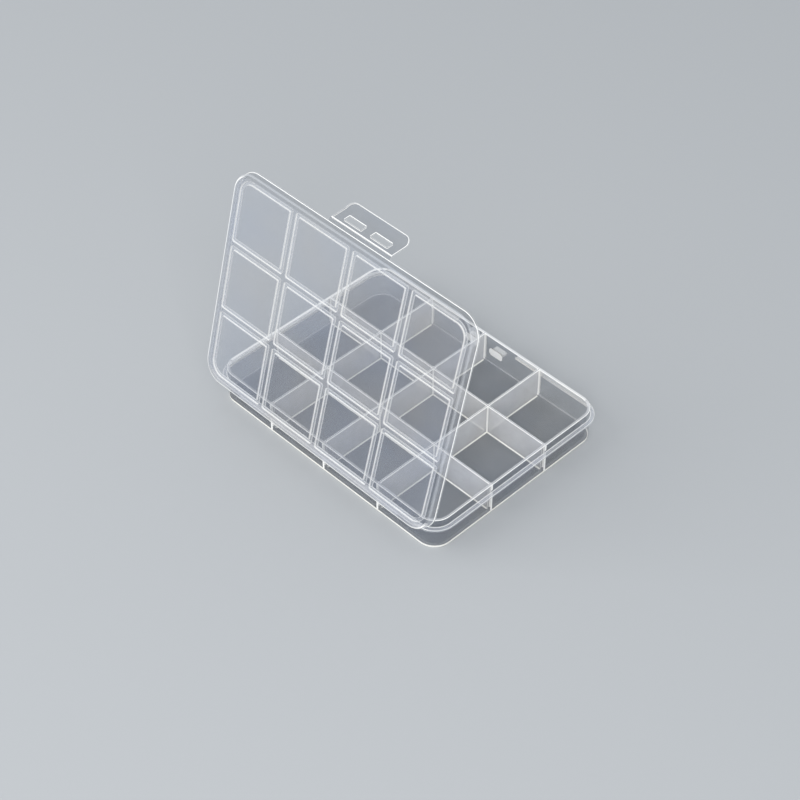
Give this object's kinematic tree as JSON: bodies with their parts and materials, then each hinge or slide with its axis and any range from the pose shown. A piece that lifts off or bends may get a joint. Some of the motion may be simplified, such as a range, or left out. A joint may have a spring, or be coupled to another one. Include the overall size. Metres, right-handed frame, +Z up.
{
  "type": "bead organizer box",
  "caption": "Clear plastic craft organizer: a flat tray divided into compartments under one hinged lid, closed by a slotted latch flap that presses over catch lugs.",
  "frame": {"origin": "centre of the tray's underside, on the surface the box rests on", "axes": "+X along the hinge, +Y from the hinge side to the latch side, +Z up out of the open tray"},
  "size_m": [0.13, 0.1042, 0.1107],
  "materials": {
    "tray_plastic": "clear, slightly milky moulded polypropylene",
    "lid_plastic": "clear, slightly milky moulded polypropylene",
    "rib_plastic": "clear moulded polypropylene, paler at its edges",
    "latch_plastic": "clear, slightly milky moulded polypropylene"
  },
  "bodies": {
    "tray": {"tray_floor": "tray_plastic", "tray_wall": "tray_plastic", "tray_flange": "tray_plastic", "long_divider_1": "rib_plastic", "long_divider_2": "rib_plastic", "cross_divider_1": "rib_plastic", "cross_divider_2": "rib_plastic", "cross_divider_3": "rib_plastic", "catch_lug_left": "rib_plastic", "catch_lug_right": "rib_plastic", "hinge_film_tray": "rib_plastic"},
    "lid": {"lid_panel": "lid_plastic", "lid_skirt": "lid_plastic", "lid_flange": "lid_plastic", "lid_ring_1_1": "rib_plastic", "lid_ring_1_2": "rib_plastic", "lid_ring_1_3": "rib_plastic", "lid_ring_2_1": "rib_plastic", "lid_ring_2_2": "rib_plastic", "lid_ring_2_3": "rib_plastic", "lid_ring_3_1": "rib_plastic", "lid_ring_3_2": "rib_plastic", "lid_ring_3_3": "rib_plastic", "lid_ring_4_1": "rib_plastic", "lid_ring_4_2": "rib_plastic", "lid_ring_4_3": "rib_plastic", "hinge_film_lid": "rib_plastic", "hinge_bar": "rib_plastic", "latch_film": "latch_plastic"},
    "latch": {"latch_flap": "latch_plastic"}
  },
  "joints": [
    {"name": "lid_hinge", "type": "hinge", "parent": "tray", "child": "lid", "pos_m": [0, -0.0505, 0.01205], "axis": [1, 0, 0], "range_deg": [-75, 105]},
    {"name": "latch_hinge", "type": "hinge", "parent": "lid", "child": "latch", "pos_m": [0, -0.02503, 0.10844], "axis": [1, 0, 0], "range_deg": [-16, 74]}
  ]
}
